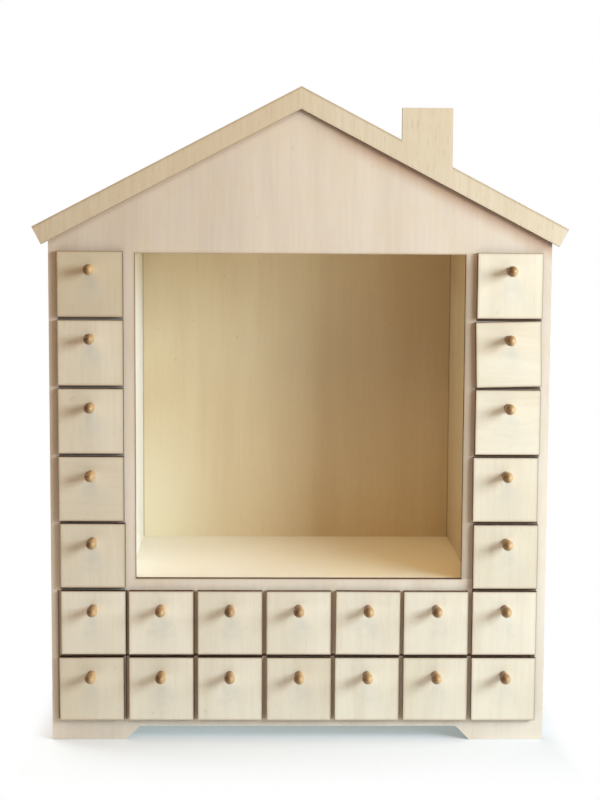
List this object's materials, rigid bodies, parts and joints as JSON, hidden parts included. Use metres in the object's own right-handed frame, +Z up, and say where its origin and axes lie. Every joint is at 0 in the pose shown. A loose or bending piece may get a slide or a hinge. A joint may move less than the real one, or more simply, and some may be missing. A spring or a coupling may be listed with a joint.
{
  "type": "wooden advent calendar house",
  "caption": "House-shaped plywood advent calendar with a gable roof and chimney, an open display niche, and small sliding drawers with turned knobs beside and below it.",
  "frame": {"origin": "on the ground, under the middle of the whole object's bounding box", "axes": "+Z up, -Y towards the viewer in front of the drawers, +X to the viewer's right"},
  "size_m": [0.344, 0.173, 0.4266],
  "materials": {
    "plywood": "raw sanded faces, browned laser-cut edges",
    "knob_wood": "turned, bare"
  },
  "bodies": {
    "cabinet": {"front_panel": "plywood", "back_panel": "plywood", "side_panels": "plywood", "roof_boards": "plywood", "roof_trim": "plywood", "base_board": "plywood", "row_shelves": "plywood", "niche_floor": "plywood", "niche_walls": "plywood", "attic_floor": "plywood", "column_shelves": "plywood", "row_dividers": "plywood"},
    "drawer_01": {"drawer_01": "plywood", "knob_01": "knob_wood"},
    "drawer_02": {"drawer_02": "plywood", "knob_02": "knob_wood"},
    "drawer_03": {"drawer_03": "plywood", "knob_03": "knob_wood"},
    "drawer_04": {"drawer_04": "plywood", "knob_04": "knob_wood"},
    "drawer_05": {"drawer_05": "plywood", "knob_05": "knob_wood"},
    "drawer_06": {"drawer_06": "plywood", "knob_06": "knob_wood"},
    "drawer_07": {"drawer_07": "plywood", "knob_07": "knob_wood"},
    "drawer_08": {"drawer_08": "plywood", "knob_08": "knob_wood"},
    "drawer_09": {"drawer_09": "plywood", "knob_09": "knob_wood"},
    "drawer_10": {"drawer_10": "plywood", "knob_10": "knob_wood"},
    "drawer_11": {"drawer_11": "plywood", "knob_11": "knob_wood"},
    "drawer_12": {"drawer_12": "plywood", "knob_12": "knob_wood"},
    "drawer_13": {"drawer_13": "plywood", "knob_13": "knob_wood"},
    "drawer_14": {"drawer_14": "plywood", "knob_14": "knob_wood"},
    "drawer_15": {"drawer_15": "plywood", "knob_15": "knob_wood"},
    "drawer_16": {"drawer_16": "plywood", "knob_16": "knob_wood"},
    "drawer_17": {"drawer_17": "plywood", "knob_17": "knob_wood"},
    "drawer_18": {"drawer_18": "plywood", "knob_18": "knob_wood"},
    "drawer_19": {"drawer_19": "plywood", "knob_19": "knob_wood"},
    "drawer_20": {"drawer_20": "plywood", "knob_20": "knob_wood"},
    "drawer_21": {"drawer_21": "plywood", "knob_21": "knob_wood"},
    "drawer_22": {"drawer_22": "plywood", "knob_22": "knob_wood"},
    "drawer_23": {"drawer_23": "plywood", "knob_23": "knob_wood"},
    "drawer_24": {"drawer_24": "plywood", "knob_24": "knob_wood"}
  },
  "joints": [
    {"name": "drawer_01_slide", "type": "slide", "parent": "cabinet", "child": "drawer_01", "axis": [0, -1, 0], "range_m": [0, 0.12]},
    {"name": "drawer_02_slide", "type": "slide", "parent": "cabinet", "child": "drawer_02", "axis": [0, -1, 0], "range_m": [0, 0.12]},
    {"name": "drawer_03_slide", "type": "slide", "parent": "cabinet", "child": "drawer_03", "axis": [0, -1, 0], "range_m": [0, 0.12]},
    {"name": "drawer_04_slide", "type": "slide", "parent": "cabinet", "child": "drawer_04", "axis": [0, -1, 0], "range_m": [0, 0.12]},
    {"name": "drawer_05_slide", "type": "slide", "parent": "cabinet", "child": "drawer_05", "axis": [0, -1, 0], "range_m": [0, 0.12]},
    {"name": "drawer_06_slide", "type": "slide", "parent": "cabinet", "child": "drawer_06", "axis": [0, -1, 0], "range_m": [0, 0.12]},
    {"name": "drawer_07_slide", "type": "slide", "parent": "cabinet", "child": "drawer_07", "axis": [0, -1, 0], "range_m": [0, 0.12]},
    {"name": "drawer_08_slide", "type": "slide", "parent": "cabinet", "child": "drawer_08", "axis": [0, -1, 0], "range_m": [0, 0.12]},
    {"name": "drawer_09_slide", "type": "slide", "parent": "cabinet", "child": "drawer_09", "axis": [0, -1, 0], "range_m": [0, 0.12]},
    {"name": "drawer_10_slide", "type": "slide", "parent": "cabinet", "child": "drawer_10", "axis": [0, -1, 0], "range_m": [0, 0.12]},
    {"name": "drawer_11_slide", "type": "slide", "parent": "cabinet", "child": "drawer_11", "axis": [0, -1, 0], "range_m": [0, 0.12]},
    {"name": "drawer_12_slide", "type": "slide", "parent": "cabinet", "child": "drawer_12", "axis": [0, -1, 0], "range_m": [0, 0.12]},
    {"name": "drawer_13_slide", "type": "slide", "parent": "cabinet", "child": "drawer_13", "axis": [0, -1, 0], "range_m": [0, 0.12]},
    {"name": "drawer_14_slide", "type": "slide", "parent": "cabinet", "child": "drawer_14", "axis": [0, -1, 0], "range_m": [0, 0.12]},
    {"name": "drawer_15_slide", "type": "slide", "parent": "cabinet", "child": "drawer_15", "axis": [0, -1, 0], "range_m": [0, 0.12]},
    {"name": "drawer_16_slide", "type": "slide", "parent": "cabinet", "child": "drawer_16", "axis": [0, -1, 0], "range_m": [0, 0.12]},
    {"name": "drawer_17_slide", "type": "slide", "parent": "cabinet", "child": "drawer_17", "axis": [0, -1, 0], "range_m": [0, 0.12]},
    {"name": "drawer_18_slide", "type": "slide", "parent": "cabinet", "child": "drawer_18", "axis": [0, -1, 0], "range_m": [0, 0.12]},
    {"name": "drawer_19_slide", "type": "slide", "parent": "cabinet", "child": "drawer_19", "axis": [0, -1, 0], "range_m": [0, 0.12]},
    {"name": "drawer_20_slide", "type": "slide", "parent": "cabinet", "child": "drawer_20", "axis": [0, -1, 0], "range_m": [0, 0.12]},
    {"name": "drawer_21_slide", "type": "slide", "parent": "cabinet", "child": "drawer_21", "axis": [0, -1, 0], "range_m": [0, 0.12]},
    {"name": "drawer_22_slide", "type": "slide", "parent": "cabinet", "child": "drawer_22", "axis": [0, -1, 0], "range_m": [0, 0.12]},
    {"name": "drawer_23_slide", "type": "slide", "parent": "cabinet", "child": "drawer_23", "axis": [0, -1, 0], "range_m": [0, 0.12]},
    {"name": "drawer_24_slide", "type": "slide", "parent": "cabinet", "child": "drawer_24", "axis": [0, -1, 0], "range_m": [0, 0.12]}
  ]
}
